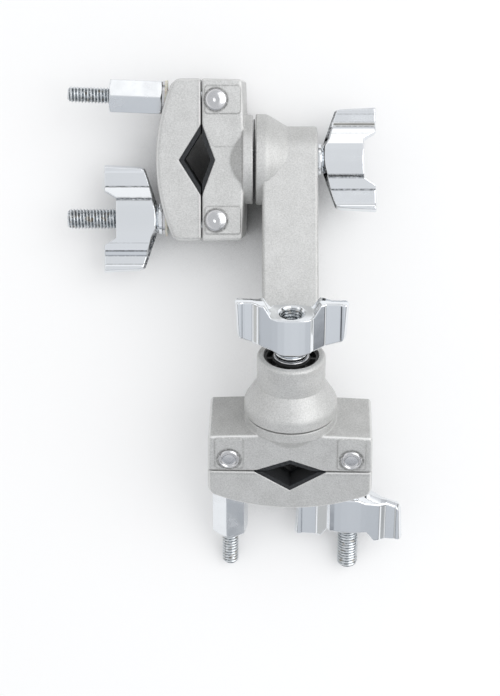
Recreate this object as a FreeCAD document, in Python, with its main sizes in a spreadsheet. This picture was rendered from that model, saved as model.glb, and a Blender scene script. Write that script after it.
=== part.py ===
import FreeCAD, Part
import math
import operator
import os

import Sketcher
from FreeCAD import Placement, Rotation, Vector

# An angle clamp: two V jaw clamps for round tube, one at each end of a cranked cast arm.
# Each clamp swivels on a hub of the arm and is locked by a wing nut. Each clamp closes with
# two swing bolts, one with a wing nut and one with a long hex nut.
#
# Millimetres. The origin is the middle of the upper V opening, on the parting plane of its
# jaws. +X runs from the upper jaws to the upper hub, +Y along the jaws away from the lower
# clamp, and +Z up from the table that the clamp lies on.

SIZES = {
    # the arm casting
    "arm_length": 97.4,  # upper hub axis to the disc face of the lower hub, along the bar
    "arm_rise": 8.35,  # how far that disc face stands above the middle of the bar
    "arm_bend": 40.0,  # between the bar and the lower hub's axis
    "bar_start": 2.45,  # from the upper hub's disc face
    "bar_width": 21.15,
    "bar_edge": 1.2,
    "elbow_reach": 15.5,  # from the lower hub's axis to where the elbow meets its band
    "hub_band_radius": 17.4,
    "hub_band": 3.1,
    "hub_height": 23.6,
    "hub_neck_radius": 12.7,
    "hub_cone_end": 12.1,
    "hub_shoulder": 4.0,
    "hub_shoulder_angle": 31.0,
    "hub_edge": 1.2,
    "cup_radius": 10.3,
    "cup_depth": 13.0,
    # how the arm and the clamps lie at rest
    "arm_tilt": 8.5,
    "upper_lean": 6.3,
    "lower_roll": 1.3,
    "hex_lean": 2.2,
    # the jaws, from the parting plane
    "jaw_length": 61.5,
    "jaw_depth": 25.4,
    "parting_gap": 0.55,
    "inner_thickness": 15.25,
    "inner_ridge": 16.0,
    "back_draft": 1.7,  # how much thicker the jaw is at its far side
    "end_draft": 0.35,
    "ridge_half": 12.0,
    "jaw_edge": 1.1,
    "parting_edge": 0.7,
    "bulge": 17.3,
    "bulge_radius": 74.0,
    "outer_corner": 2.6,
    "outer_edge": 1.6,
    "notch_half": 13.8,
    "inner_notch": 5.1,
    "outer_notch": 8.6,
    "jaw_disc_face": 19.45,
    "jaw_disc_thickness": 3.9,
    "jaw_disc_radius": 17.1,
    "disc_edge": 0.4,
    "flare_root": 10.0,
    "flare_root_radius": 11.8,
    "flare_radius": 15.0,
    # rivets and the slots that the swing bolts turn in
    "rivet_depth": 5.5,
    "rivet_spread": 22.8,
    "rivet_radius": 2.5,
    "rivet_head_radius": 4.25,
    "rivet_head_rim": 0.35,
    "rivet_dome": 1.35,
    "rivet_tail_radius": 4.1,
    "rivet_tail": 0.7,
    "rivet_dish_radius": 2.6,
    "boss_rise": 0.25,
    "boss_near": 1.35,
    "boss_margin": 0.5,
    "boss_half": 5.2,
    "slot_width": 8.6,
    "slot_clearance": 0.4,
    "slot_mouth": 9.0,
    # swing bolts
    "eye_radius": 6.0,
    "eye_width": 8.0,
    "wing_bolt_radius": 3.9,
    "wing_bolt_reach": 51.9,
    "hex_bolt_radius": 3.1,
    "hex_bolt_reach": 51.5,
    "bolt_tip": 0.8,
    "running_gap": 0.08,
    # nut seats in the outer jaw, and the washers
    "seat_level": 13.2,
    "seat_reach": 7.6,
    "seat_width": 15.2,
    "seat_gap": 0.1,
    "nylon_radius": 6.75,
    "nylon_thickness": 0.9,
    "steel_radius": 6.5,
    "steel_thickness": 0.95,
    "washer_play": 0.25,
    # wing nut, from its base
    "wing_height": 22.8,
    "wing_span_low": 20.0,
    "wing_span_top": 20.8,
    "wing_corner": 7.0,
    "wing_corner_radius": 19.5,
    "wing_side": 7.8,
    "wing_waist": 10.5,
    "wing_waist_half": 1.5,
    "wing_tip_half": 2.5,
    "barrel_half": 6.2,
    "barrel_radius": 7.04,
    "barrel_height": 17.9,
    "barrel_blend_angle": 41.8,
    "notch_root": 7.9,
    "notch_top": 10.2,
    "flange_radius": 6.05,
    "flange_height": 1.7,
    "neck_radius": 4.9,
    "neck_height": 2.0,
    "thread_gap": 0.05,
    # long hex nut
    "hex_across": 12.45,
    "hex_length": 20.3,
    "hex_chamfer": 1.2,
    # V liners
    "liner": 1.6,
    "liner_channel": 0.7,
    "liner_inset": 0.2,
    "end_rib": 5.8,
    "middle_rib": 3.8,
    # hub fittings
    "hub_bolt_radius": 4.0,
    "hub_bolt_reach": 13.3,
    "head_seat": 9.4,
    "head_height": 3.5,
    "head_radius": 6.5,
    "head_clearance": 0.1,
    "hub_washer_radius": 6.6,
    "hub_washer": 1.0,
    "bush_boss_radius": 7.0,
    "bush_wall": 1.1,
    "bush_recess": 2.4,
    "bush_rib": 0.9,
    "upper_disc_gap": 1.12,
    "lower_disc_gap": 0.6,
    "friction_washer": 0.5,
    "friction_washer_radius": 15.4,
    # how far each wing nut is turned at rest
    "upper_hub_turn": -15.0,
    "upper_wing_turn": 3.0,
    "upper_hex_turn": 30.0,
    "lower_hub_turn": -1.0,
    "lower_wing_turn": 5.0,
    "lower_hex_turn": 39.5,
}

BUSH_RIBS = 8
OVERCUT = 1.0  # how far a cut runs past the surface that it opens

OPERATIONS = {"+": operator.add, "-": operator.sub, "*": operator.mul, "/": operator.truediv}


class Size:
    """A number with the sheet expression that gives it, so that sketches stay bound to the sheet."""

    def __init__(self, value, text):
        self.value = value
        self.text = text

    def __add__(self, other):
        return combine(self, "+", other)

    def __radd__(self, other):
        return combine(other, "+", self)

    def __sub__(self, other):
        return combine(self, "-", other)

    def __rsub__(self, other):
        return combine(other, "-", self)

    def __mul__(self, other):
        return combine(self, "*", other)

    def __rmul__(self, other):
        return combine(other, "*", self)

    def __truediv__(self, other):
        return combine(self, "/", other)

    def __neg__(self):
        return combine(0.0, "-", self)


class Sheet:
    """The driving sizes, read from the sheet by name."""

    def __init__(self, document):
        self.cells = document.addObject("Spreadsheet::Sheet", "Sizes")
        for row, (name, value) in enumerate(SIZES.items(), start=1):
            self.cells.set(f"A{row}", name)
            self.cells.set(f"B{row}", str(value))
            self.cells.setAlias(f"B{row}", name)
        document.recompute()

    def __getattr__(self, name):
        return Size(float(self.cells.get(name)), f"Sizes.{name}")


def as_size(number):
    return number if isinstance(number, Size) else Size(float(number), repr(float(number)))


def combine(left, sign, right):
    left, right = as_size(left), as_size(right)
    value = OPERATIONS[sign](left.value, right.value)
    return Size(value, f"({left.text} {sign} {right.text})")


def sine(angle):
    return Size(math.sin(math.radians(angle.value)), f"sin({angle.text})")


def cosine(angle):
    return Size(math.cos(math.radians(angle.value)), f"cos({angle.text})")


def root(size):
    return Size(math.sqrt(size.value), f"sqrt({size.text})")


def bind(item, field, amount):
    """Ties a property to the sheet expression behind a size."""
    item.setExpression(field, as_size(amount).text)


# Building steps that every piece uses


def new_body(label):
    body = document.addObject("PartDesign::Body", label)
    body.Label = label
    return body


def new_sketch(body, plane, offset=(), turn=None):
    """A sketch on one of the body's own planes, offset and turned in that plane's own directions."""
    sketch = body.newObject("Sketcher::SketchObject", "Outline")
    support = [item for item in body.Origin.OriginFeatures if item.Role == plane][0]
    sketch.AttachmentSupport = [(support, "")]
    sketch.MapMode = "FlatFace"
    for axis, amount in zip("xyz", offset):
        bind(sketch, f"AttachmentOffset.Base.{axis}", amount)
    if turn is not None:
        bind(sketch, "AttachmentOffset.Rotation.Angle", turn)
    return sketch


def fix_point(sketch, edge, end, across, up):
    """Holds one end of an edge at its two distances from the sketch's origin."""
    for kind, amount in (("DistanceX", across), ("DistanceY", up)):
        number = sketch.addConstraint(Sketcher.Constraint(kind, -1, 1, edge, end, amount.value))
        sketch.setExpression(f"Constraints[{number}]", amount.text)


def outline(body, plane, points, offset=(), turn=None):
    """A closed outline. A point is (across, up), or (across, up, radius, side) where an arc arrives at
    it with its centre on that side of the way there."""
    sketch = new_sketch(body, plane, offset, turn)
    corners = [(as_size(point[0]), as_size(point[1])) for point in points]
    places = [Vector(across.value, up.value, 0) for across, up in corners]
    ends = []
    for index, point in enumerate(points):
        start, end = places[index - 1], places[index]
        if len(point) == 2:
            edge = sketch.addGeometry(Part.LineSegment(start, end), False)
            ends.append((edge, 1, 2))
            continue
        radius, side = as_size(point[2]), point[3]
        chord = end - start
        across_chord = Vector(-chord.y, chord.x, 0).normalize()
        height = math.sqrt(max(radius.value**2 - (chord.Length / 2) ** 2, 0.0))
        centre = (start + end) * 0.5 + across_chord * (height if side == "left" else -height)
        first, last = (start, end) if side == "left" else (end, start)
        angles = [math.atan2(place.y - centre.y, place.x - centre.x) for place in (first, last)]
        circle = Part.Circle(centre, Vector(0, 0, 1), radius.value)
        edge = sketch.addGeometry(Part.ArcOfCircle(circle, *angles), False)
        ends.append((edge, 1, 2) if side == "left" else (edge, 2, 1))
    for index, point in enumerate(points):
        edge, _, end = ends[index]
        following, start, _ = ends[(index + 1) % len(points)]
        sketch.addConstraint(Sketcher.Constraint("Coincident", edge, end, following, start))
        fix_point(sketch, edge, end, *corners[index])
        if len(point) == 4:
            radius = as_size(point[2])
            number = sketch.addConstraint(Sketcher.Constraint("Radius", edge, radius.value))
            sketch.setExpression(f"Constraints[{number}]", radius.text)
    return sketch


def round_outline(body, plane, across, up, radius):
    """A full circle."""
    sketch = new_sketch(body, plane)
    across, up, radius = as_size(across), as_size(up), as_size(radius)
    circle = Part.Circle(Vector(across.value, up.value, 0), Vector(0, 0, 1), radius.value)
    edge = sketch.addGeometry(circle, False)
    fix_point(sketch, edge, 3, across, up)
    number = sketch.addConstraint(Sketcher.Constraint("Radius", edge, radius.value))
    sketch.setExpression(f"Constraints[{number}]", radius.text)
    return sketch


def pad(body, sketch, length, both_ways=False):
    feature = body.newObject("PartDesign::Pad", "Pad")
    feature.Profile = sketch
    bind(feature, "Length", length)
    if both_ways:
        feature.SideType = "Symmetric"
    return feature


def cut_through(body, sketch, length):
    """A pocket that reaches half its length to each side of the sketch."""
    feature = body.newObject("PartDesign::Pocket", "Pocket")
    feature.Profile = sketch
    bind(feature, "Length", length)
    feature.SideType = "Symmetric"
    return feature


def turn_round(body, sketch, kind="PartDesign::Revolution"):
    """A full turn about the sketch's own horizontal axis."""
    feature = body.newObject(kind, "Turned")
    feature.Profile = sketch
    feature.ReferenceAxis = (sketch, ["H_Axis"])
    feature.Angle = 360.0
    return feature


def cut_round(body, sketch):
    return turn_round(body, sketch, "PartDesign::Groove")


def round_edges(body, feature, radius, wanted):
    """Rounds the edges of the feature that the test picks."""
    document.recompute()
    names = [f"Edge{number}" for number, edge in enumerate(feature.Shape.Edges, 1) if wanted(edge)]
    fillet = body.newObject("PartDesign::Fillet", "Fillet")
    fillet.Base = (feature, names)
    bind(fillet, "Radius", radius)
    return fillet


def turned_piece(label, points, place):
    """A piece turned about its own X axis from (along, radius) points."""
    body = new_body(label)
    turn_round(body, outline(body, "XY_Plane", points))
    body.Placement = place
    return body


def ring(label, inner, outer, start, thickness, place):
    """A flat washer."""
    points = [(start, inner), (start + thickness, inner), (start + thickness, outer), (start, outer)]
    return turned_piece(label, points, place)


def shift(along=0.0, across=0.0, up=0.0):
    values = [as_size(amount).value for amount in (along, across, up)]
    return Placement(Vector(*values), Rotation())


def turn_about(axis, angle):
    return Placement(Vector(), Rotation(axis, as_size(angle).value))


X_AXIS = Vector(1, 0, 0)
Y_AXIS = Vector(0, 1, 0)
Z_AXIS = Vector(0, 0, 1)

document = FreeCAD.newDocument("AngleClamp")
size = Sheet(document)


# The arm: a bar with a hub at each end. Its own origin is on the upper hub's axis, at its disc face.

bar_middle = size.bar_start + size.bar_width / 2
lower_hub_spot = (-size.arm_length, size.arm_rise, bar_middle)


def hub_outline():
    """Half of a hub's section: disc band, rounded shoulder, cone, neck and rounded rim."""
    shoulder_along = size.hub_band + size.hub_shoulder * sine(size.hub_shoulder_angle)
    shoulder_drop = size.hub_shoulder * (1 - cosine(size.hub_shoulder_angle))
    return [
        (0.0, 0.0),
        (0.0, size.hub_band_radius - size.disc_edge),
        (size.disc_edge, size.hub_band_radius),
        (size.hub_band, size.hub_band_radius),
        (shoulder_along, size.hub_band_radius - shoulder_drop, size.hub_shoulder, "right"),
        (size.hub_cone_end, size.hub_neck_radius),
        (size.hub_height - size.hub_edge, size.hub_neck_radius),
        (size.hub_height, size.hub_neck_radius - size.hub_edge, size.hub_edge, "right"),
        (size.hub_height, 0.0),
    ]


def cup_outline():
    """Half of the section that is bored out of a hub: the cup and the bolt hole."""
    cup_floor = size.hub_height - size.cup_depth
    bore = size.hub_bolt_radius + size.running_gap
    return [
        (-OVERCUT, 0.0),
        (-OVERCUT, bore),
        (cup_floor, bore),
        (cup_floor, size.cup_radius),
        (size.hub_height + OVERCUT, size.cup_radius),
        (size.hub_height + OVERCUT, 0.0),
    ]


def bar_outline():
    """The bar seen from the side: front and back level with the upper neck, and an elbow at the back
    that turns up to run along the lower hub's band."""
    slope, rise = cosine(size.arm_bend), sine(size.arm_bend)
    front_along = (size.hub_neck_radius - size.arm_rise) / rise
    band_across = slope * size.hub_band - size.arm_length
    band_up = rise * size.hub_band + size.arm_rise
    elbow_across = band_across + rise * size.elbow_reach
    elbow_up = band_up - slope * size.elbow_reach
    elbow_radius = (elbow_up + size.hub_neck_radius) / (1 - rise)
    return [
        (0.0, size.hub_neck_radius),
        (slope * front_along - size.arm_length, size.hub_neck_radius),
        (band_across, band_up),
        (elbow_across, elbow_up),
        (elbow_across + slope * elbow_radius, -size.hub_neck_radius, elbow_radius, "left"),
        (0.0, -size.hub_neck_radius),
    ]


def along_bar(edge):
    """True for the long edges of the bar's front and back, the elbow among them."""
    box = edge.BoundBox
    return box.XLength < 0.01 and box.YLength > size.bar_width.value


def make_arm(place):
    body = new_body("arm")
    bar = pad(body, outline(body, "YZ_Plane", bar_outline(), (0.0, 0.0, size.bar_start)), size.bar_width)
    round_edges(body, bar, size.bar_edge, along_bar)
    turn_round(body, outline(body, "XY_Plane", hub_outline()))
    turn_round(body, outline(body, "YZ_Plane", hub_outline(), lower_hub_spot, size.arm_bend))
    cut_round(body, outline(body, "XY_Plane", cup_outline()))
    cut_round(body, outline(body, "YZ_Plane", cup_outline(), lower_hub_spot, size.arm_bend))
    body.Placement = place


# Jaws, each in its clamp's own frame: X from the jaws to the hub, Y towards the long hex nut, Z along
# the groove, with the parting plane at X = 0

half_gap = size.parting_gap / 2
half_length = size.jaw_length / 2
half_depth = size.jaw_depth / 2
seat_radius = size.seat_level + size.rivet_depth


def block_outline(body, level, draft):
    """The inner jaw's outline at one of its two sides."""
    end = size.inner_thickness + draft
    ridge = size.inner_ridge + draft
    back_end = half_length - size.end_draft
    points = [
        (half_gap, -half_length),
        (end, -back_end),
        (ridge, -size.ridge_half),
        (ridge, size.ridge_half),
        (end, back_end),
        (half_gap, half_length),
    ]
    return outline(body, "XY_Plane", points, (0.0, 0.0, level))


def make_inner_jaw(label, place):
    """The jaw with the hub disc, the rivet bosses, and the slots that the bolt eyes turn in."""
    body = new_body(label)
    block = body.newObject("PartDesign::AdditiveLoft", "Block")
    block.Profile = block_outline(body, size.jaw_depth / 2, 0.0)
    block.Sections = [block_outline(body, -size.jaw_depth / 2, size.back_draft)]
    block.Ruled = True

    def outer_edge(edge):
        """Every edge clear of the parting plane, apart from the faint ones beside the ridge."""
        middle = edge.CenterOfMass
        upright = edge.BoundBox.ZLength > 1.0
        at_ridge = abs(abs(middle.y) - size.ridge_half.value) < 0.01 and upright
        return middle.x > half_gap.value + 0.1 and not at_ridge

    rounded = round_edges(body, block, size.jaw_edge, outer_edge)
    round_edges(body, rounded, size.parting_edge, lambda edge: at_parting(edge, half_gap.value))
    for side in (1.0, -1.0):
        middle = side * size.rivet_spread
        boss = [
            (size.boss_near, middle - size.boss_half),
            (size.inner_thickness - size.boss_margin, middle - size.boss_half),
            (size.inner_thickness - size.boss_margin, middle + size.boss_half),
            (size.boss_near, middle + size.boss_half),
        ]
        pad(body, outline(body, "XY_Plane", boss), size.jaw_depth + 2 * size.boss_rise, both_ways=True)
    disc_back = size.jaw_disc_face - size.jaw_disc_thickness
    disc = [
        (size.flare_root, 0.0),
        (size.flare_root, size.flare_root_radius),
        (disc_back, size.flare_radius),
        (disc_back, size.jaw_disc_radius - size.disc_edge),
        (disc_back + size.disc_edge, size.jaw_disc_radius),
        (size.jaw_disc_face - size.disc_edge, size.jaw_disc_radius),
        (size.jaw_disc_face, size.jaw_disc_radius - size.disc_edge),
        (size.jaw_disc_face, 0.0),
    ]
    turn_round(body, outline(body, "XY_Plane", disc))
    notch = [(0.0, -size.notch_half), (size.inner_notch, 0.0), (0.0, size.notch_half)]
    cut_through(body, outline(body, "XY_Plane", notch), size.jaw_depth + 2 * OVERCUT)
    bore = size.hub_bolt_radius + size.running_gap
    recess = size.head_radius + size.head_clearance
    bolt_hole = [
        (-OVERCUT, 0.0),
        (-OVERCUT, recess),
        (size.head_seat, recess),
        (size.head_seat, bore),
        (size.jaw_disc_face + OVERCUT, bore),
        (size.jaw_disc_face + OVERCUT, 0.0),
    ]
    cut_round(body, outline(body, "XY_Plane", bolt_hole))
    cut_eye_slot(body, 1.0)
    cut_eye_slot(body, -1.0)
    for side in (1.0, -1.0):
        hole = round_outline(
            body, "XY_Plane", size.rivet_depth, side * size.rivet_spread, size.rivet_radius + size.running_gap
        )
        cut_through(body, hole, size.jaw_depth + 2 * size.boss_rise + 2 * OVERCUT)
    body.Placement = place


def at_parting(edge, level):
    """True for the long edges of a jaw's parting face."""
    middle = edge.CenterOfMass
    lengthwise = edge.BoundBox.YLength > size.jaw_length.value / 2
    return abs(middle.x - level) < 0.01 and lengthwise


def cut_eye_slot(body, side):
    """The slot that a bolt's eye turns in, round behind the rivet and open to the parting face and the
    end. Seen along Z."""
    room = size.eye_radius + size.slot_clearance
    mouth = size.slot_mouth - size.rivet_depth
    mouth_up = root(room * room - mouth * mouth)
    beyond = half_length + OVERCUT
    bend = "left" if side > 0 else "right"
    points = [
        (-OVERCUT, side * (size.rivet_spread - room)),
        (size.rivet_depth, side * (size.rivet_spread - room)),
        (size.rivet_depth + room, side * size.rivet_spread, room, bend),
        (size.slot_mouth, side * (size.rivet_spread + mouth_up), room, bend),
        (size.slot_mouth, side * beyond),
        (-OVERCUT, side * beyond),
    ]
    cut_through(body, outline(body, "XY_Plane", points), size.slot_width)


def make_outer_jaw(label, place):
    """The loose jaw: a bowed back, a deep V notch, and at each end an open slot and a nut seat."""
    body = new_body(label)
    centre = size.bulge_radius - size.bulge
    inner_radius = size.bulge_radius - size.outer_corner
    corner_up = half_length - size.outer_corner
    corner_across = centre - root(inner_radius * inner_radius - corner_up * corner_up)
    scale = size.bulge_radius / inner_radius
    end_across = centre + (corner_across - centre) * scale
    end_up = corner_up * scale
    back = pad(
        body,
        outline(
            body,
            "XY_Plane",
            [
                (-half_gap, -half_length),
                (-half_gap, half_length),
                (corner_across, half_length),
                (end_across, end_up, size.outer_corner, "left"),
                (end_across, -end_up, size.bulge_radius, "left"),
                (corner_across, -half_length, size.outer_corner, "left"),
            ],
        ),
        size.jaw_depth,
        both_ways=True,
    )

    def back_edge(edge):
        flat = edge.BoundBox.ZLength < 0.01
        return flat and edge.CenterOfMass.x < -half_gap.value - 0.1

    rounded = round_edges(body, back, size.outer_edge, back_edge)
    round_edges(body, rounded, size.parting_edge, lambda edge: at_parting(edge, -half_gap.value))
    notch = [(0.0, size.notch_half), (-size.outer_notch, 0.0), (0.0, -size.notch_half)]
    cut_through(body, outline(body, "XY_Plane", notch), size.jaw_depth + 2 * OVERCUT)
    for side in (1.0, -1.0):
        half = size.slot_width / 2
        middle, beyond = side * size.rivet_spread, side * (half_length + OVERCUT)
        bend = "left" if side > 0 else "right"
        slot = [
            (beyond, half),
            (middle, half),
            (middle - side * half, 0.0, half, bend),
            (middle, -half, half, bend),
            (beyond, -half),
        ]
        cut_through(body, outline(body, "YZ_Plane", slot), 2 * (size.bulge + OVERCUT))
        cut_nut_seat(body, side)
    body.Placement = place


def cut_nut_seat(body, side):
    """The pocket that a nut's washers lie in. Its floor is flat up to the bolt, and beyond it falls away
    round the rivet, so that the bolt can swing out."""
    beyond = half_length + OVERCUT
    past = beyond - size.rivet_spread
    floor_end = size.rivet_depth - root(seat_radius * seat_radius - past * past)
    clear = size.bulge + OVERCUT
    points = [
        (-size.seat_level, side * (size.rivet_spread - size.seat_reach)),
        (-size.seat_level, side * size.rivet_spread),
        (floor_end, side * beyond, seat_radius, "right" if side > 0 else "left"),
        (-clear, side * beyond),
        (-clear, side * (size.rivet_spread - size.seat_reach)),
    ]
    cut_through(body, outline(body, "XY_Plane", points), size.seat_width)


def make_liner(label, depth_of_notch, side, place):
    """The black V strip that lines a notch, with three ribs across the groove. Side is 1 for the inner
    jaw and -1 for the outer one."""
    body = new_body(label)
    slant = root(size.notch_half * size.notch_half + depth_of_notch * depth_of_notch) / size.notch_half
    length = size.jaw_depth - 2 * size.liner_inset

    def strip(thickness):
        """A V of this thickness, measured square to the wall that it lies on."""
        inner = depth_of_notch - thickness * slant
        reach = size.notch_half * (depth_of_notch - half_gap) / depth_of_notch
        inner_reach = size.notch_half * (inner - half_gap) / depth_of_notch
        return [
            (side * half_gap, reach),
            (side * depth_of_notch, 0.0),
            (side * half_gap, -reach),
            (side * half_gap, -inner_reach),
            (side * inner, 0.0),
            (side * half_gap, inner_reach),
        ]

    pad(body, outline(body, "XY_Plane", strip(size.liner - size.liner_channel)), length, both_ways=True)
    rib = strip(size.liner)
    pad(body, outline(body, "XY_Plane", rib), size.middle_rib, both_ways=True)
    end_middle = (length - size.end_rib) / 2
    for level in (end_middle, -end_middle):
        pad(body, outline(body, "XY_Plane", rib, (0.0, 0.0, level)), size.end_rib, both_ways=True)
    body.Placement = place


def make_rivet(label, place):
    """A rivet along its own X axis: a dished tail, a shank through the jaw, and a domed head."""
    half = half_depth + size.boss_rise
    dome_radius = (
        size.rivet_head_radius * size.rivet_head_radius + size.rivet_dome * size.rivet_dome
    ) / (2 * size.rivet_dome)
    rim = half + size.rivet_head_rim
    tail = -half - size.rivet_tail
    points = [
        (tail + size.rivet_tail / 2, 0.0),
        (tail + size.rivet_tail / 2, size.rivet_dish_radius / 2),
        (tail, size.rivet_dish_radius),
        (tail, size.rivet_tail_radius - size.rivet_tail / 2),
        (tail + size.rivet_tail / 2, size.rivet_tail_radius),
        (-half, size.rivet_tail_radius),
        (-half, size.rivet_radius),
        (half, size.rivet_radius),
        (half, size.rivet_head_radius),
        (rim, size.rivet_head_radius),
        (rim + size.rivet_dome, 0.0, dome_radius, "right"),
    ]
    turned_piece(label, points, place)


def make_swing_bolt(label, radius, reach, place):
    """A bolt with a flat eye. Its own origin is the rivet's axis, and X runs to its tip."""
    body = new_body(label)
    tip = reach + size.rivet_depth
    shank = [
        (0.0, 0.0),
        (0.0, radius),
        (tip - size.bolt_tip, radius),
        (tip, radius - size.bolt_tip),
        (tip, 0.0),
    ]
    turn_round(body, outline(body, "XY_Plane", shank))
    pad(body, round_outline(body, "XY_Plane", 0.0, 0.0, size.eye_radius), size.eye_width, both_ways=True)
    hole = round_outline(body, "XY_Plane", 0.0, 0.0, size.rivet_radius + size.running_gap)
    cut_through(body, hole, size.eye_width + 2 * OVERCUT)
    body.Placement = place


def wing_section():
    """A wing nut seen along its axis: a flattened barrel that sweeps in to two waisted wings."""
    blend = size.barrel_blend_angle
    across = size.barrel_radius * cosine(blend)
    up = size.barrel_half - size.barrel_radius * (1 - sine(blend))
    run, drop = size.wing_waist - across, up - size.wing_waist_half
    chord = root(run * run + drop * drop)
    blend_radius = chord / (2 * sine((90 - blend) / 2))
    waist, tip = size.wing_waist_half, size.wing_tip_half
    end = size.wing_span_top + OVERCUT
    return [
        (-across, up, size.barrel_radius, "left"),
        (-size.wing_waist, waist, blend_radius, "right"),
        (-end, tip),
        (-end, -tip),
        (-size.wing_waist, -waist),
        (-across, -up, blend_radius, "right"),
        (across, -up, size.barrel_radius, "left"),
        (size.wing_waist, -waist, blend_radius, "right"),
        (end, -tip),
        (end, tip),
        (size.wing_waist, waist),
        (across, up, blend_radius, "right"),
    ]


def make_wing_nut(label, bolt_radius, place):
    """A wing nut from its base at X = 0, with its wings along Y. A turned outline trims the section: a
    slanted underside, wing tips that lean out a little, and a notch beside the barrel's end."""
    body = new_body(label)
    pad(body, outline(body, "YZ_Plane", wing_section()), size.wing_height)
    lean = (size.wing_span_top - size.wing_span_low) / (size.wing_height - size.wing_side)
    clear = size.wing_span_top + 3 * OVERCUT
    outside = [
        (-OVERCUT, size.neck_radius),
        (size.neck_height, size.neck_radius),
        (size.wing_corner, size.wing_corner_radius),
        (size.wing_side, size.wing_span_low),
        (size.wing_height + OVERCUT, size.wing_span_top + lean * OVERCUT),
        (size.wing_height + OVERCUT, clear),
        (-OVERCUT, clear),
    ]
    cut_round(body, outline(body, "XY_Plane", outside))
    flare = (size.notch_top - size.notch_root) / (size.wing_height - size.barrel_height)
    notch = [
        (size.barrel_height, 0.0),
        (size.barrel_height, size.notch_root),
        (size.wing_height + OVERCUT, size.notch_top + flare * OVERCUT),
        (size.wing_height + OVERCUT, 0.0),
    ]
    cut_round(body, outline(body, "XY_Plane", notch))
    flange = [
        (0.0, 0.0),
        (0.0, size.flange_radius - size.disc_edge),
        (size.disc_edge, size.flange_radius),
        (size.flange_height - size.disc_edge, size.flange_radius),
        (size.flange_height, size.flange_radius - size.disc_edge),
        (size.flange_height, 0.0),
    ]
    turn_round(body, outline(body, "XY_Plane", flange))
    bore = round_outline(body, "YZ_Plane", 0.0, 0.0, bolt_radius + size.thread_gap)
    cut_through(body, bore, 2 * (size.barrel_height + OVERCUT))
    body.Placement = place


def make_hex_nut(label, place):
    """A long hex nut from its base at X = 0, chamfered at both ends."""
    body = new_body(label)
    corner = size.hex_across / root(as_size(3.0))
    angles = [Size(60.0 * step, repr(60.0 * step)) for step in range(6)]
    points = [(corner * cosine(angle), corner * sine(angle)) for angle in angles]
    pad(body, outline(body, "YZ_Plane", points), size.hex_length)
    clear = corner + OVERCUT
    depth = size.hex_chamfer / 2
    low = corner - size.hex_chamfer - 2 * OVERCUT
    for end, start in ((-OVERCUT, depth), (size.hex_length + OVERCUT, size.hex_length - depth)):
        cut_round(body, outline(body, "XY_Plane", [(end, low), (start, corner), (start, clear), (end, clear)]))
    bore = round_outline(body, "YZ_Plane", 0.0, 0.0, size.hex_bolt_radius + size.thread_gap)
    cut_through(body, bore, 2 * (size.hex_length + OVERCUT))
    body.Placement = place


def make_bush(label, place):
    """The black bush in a hub's cup, with short ribs between its boss and its wall."""
    body = new_body(label)
    floor = size.hub_height - size.cup_depth
    top = size.hub_height - size.hub_washer
    bore = size.hub_bolt_radius + size.washer_play
    outer = size.cup_radius - size.running_gap
    recess = top - size.bush_recess
    section = [
        (floor, bore),
        (floor, outer),
        (top, outer),
        (top, outer - size.bush_wall),
        (recess, outer - size.bush_wall),
        (recess, size.bush_boss_radius),
        (top, size.bush_boss_radius),
        (top, bore),
    ]
    turn_round(body, outline(body, "XY_Plane", section))
    half = size.bush_rib / 2
    overlap = size.bush_wall / 2
    rib_in, rib_out = size.bush_boss_radius - overlap, outer - overlap
    rib = outline(
        body,
        "YZ_Plane",
        [(rib_in, -half), (rib_out, -half), (rib_out, half), (rib_in, half)],
        (0.0, 0.0, recess - overlap),
    )
    first = pad(body, rib, size.bush_recess)
    pattern = body.newObject("PartDesign::PolarPattern", "Ribs")
    pattern.Originals = [first]
    pattern.Axis = (rib, ["N_Axis"])
    pattern.Angle = 360.0
    pattern.Occurrences = BUSH_RIBS
    body.Tip = pattern
    body.Placement = place


def make_hub_bolt(label, disc_gap, place):
    """The bolt that a clamp swivels on, with its head under the inner liner."""
    end = size.jaw_disc_face + disc_gap + size.hub_height + size.hub_bolt_reach
    points = [
        (size.head_seat - size.head_height, 0.0),
        (size.head_seat - size.head_height, size.head_radius),
        (size.head_seat, size.head_radius),
        (size.head_seat, size.hub_bolt_radius),
        (end - size.bolt_tip, size.hub_bolt_radius),
        (end, size.hub_bolt_radius - size.bolt_tip),
        (end, 0.0),
    ]
    turned_piece(label, points, place)


# One clamp with everything that its hub and its two bolts carry


def make_bolt_set(clamp, name, side, frame, lean, turn):
    """A rivet, a swing bolt, its washers and its nut. Side is 1 at the hex end and -1 at the wing end."""
    rivet_spot = frame * shift(size.rivet_depth, side * size.rivet_spread)
    upright = turn_about(Y_AXIS, -90 if clamp == "upper" else 90)
    make_rivet(f"{clamp}_{name}_rivet", rivet_spot * upright)
    outward = rivet_spot * turn_about(Z_AXIS, 180 - side * lean)
    radius = size.hex_bolt_radius if name == "hex" else size.wing_bolt_radius
    reach = size.hex_bolt_reach if name == "hex" else size.wing_bolt_reach
    make_swing_bolt(f"{clamp}_{name}_bolt", radius, reach, outward)
    bore = radius + size.washer_play
    nylon = seat_radius + size.seat_gap
    steel = nylon + size.nylon_thickness
    ring(f"{clamp}_{name}_nylon_washer", bore, size.nylon_radius, nylon, size.nylon_thickness, outward)
    ring(f"{clamp}_{name}_steel_washer", bore, size.steel_radius, steel, size.steel_thickness, outward)
    nut_place = outward * shift(steel + size.steel_thickness) * turn_about(X_AXIS, turn)
    if name == "hex":
        make_hex_nut(f"{clamp}_hex_nut", nut_place)
    else:
        make_wing_nut(f"{clamp}_wing_nut", radius, nut_place)


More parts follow.
